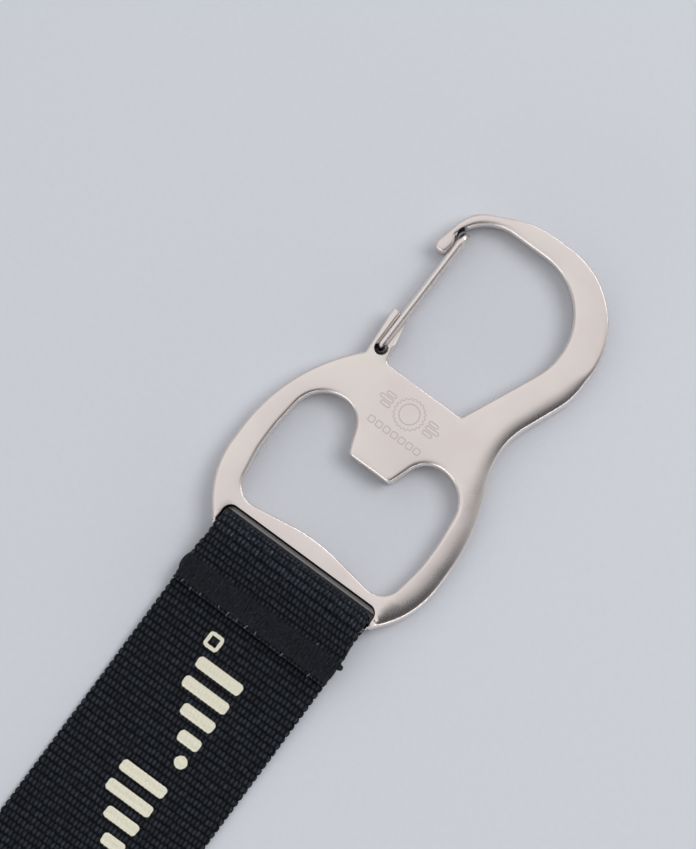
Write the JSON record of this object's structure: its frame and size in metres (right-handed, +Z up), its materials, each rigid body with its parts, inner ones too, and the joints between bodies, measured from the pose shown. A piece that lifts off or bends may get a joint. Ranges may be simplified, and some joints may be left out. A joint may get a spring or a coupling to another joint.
{
  "type": "keychain bottle opener",
  "caption": "Cast bottle opener with a wire-gate hook and a cap aperture, on a sewn webbing strap that ends in a split key ring.",
  "frame": {"origin": "middle of the footprint's bounding box, on the table that the opener lies on", "axes": "+Y along the strap from the key ring to the hook, +Z up out of the opener's front face, +X towards the closed side of the hook"},
  "size_m": [0.034, 0.1822, 0.0059],
  "materials": {
    "cast_metal": "satin nickel plate on a die casting, softly tumbled edges",
    "spring_wire": "drawn and nickel plated, satin",
    "webbing": "plain-woven polyester webbing, matt, with a cream printed pattern",
    "thread": "twisted sewing thread, slight sheen",
    "ring_steel": "nickel plated flat wire, bright satin"
  },
  "bodies": {
    "strap": {"webbing": "webbing", "near_stitching": "thread", "far_stitching": "thread"},
    "opener": {"opener_body": "cast_metal"},
    "gate": {"gate_wire": "spring_wire"},
    "key_ring": {"split_ring": "ring_steel"}
  },
  "joints": [
    {"name": "opener_swing", "type": "hinge", "parent": "strap", "child": "opener", "pos_m": [0, 0.03325, 0.00265], "axis": [1, 0, 0], "range_deg": [-100, 110]},
    {"name": "gate_swing", "type": "hinge", "parent": "opener", "child": "gate", "pos_m": [-0.0085, 0.06545, 0.002], "axis": [0, 0, -1], "range_deg": [0, 28], "stiffness_Nm_per_rad": 0.03, "springref_deg": -28.65},
    {"name": "ring_turn", "type": "hinge", "parent": "strap", "child": "key_ring", "pos_m": [0, -0.07455, 0.00225], "axis": [0, -0.0523, 0.9986], "continuous": true}
  ]
}
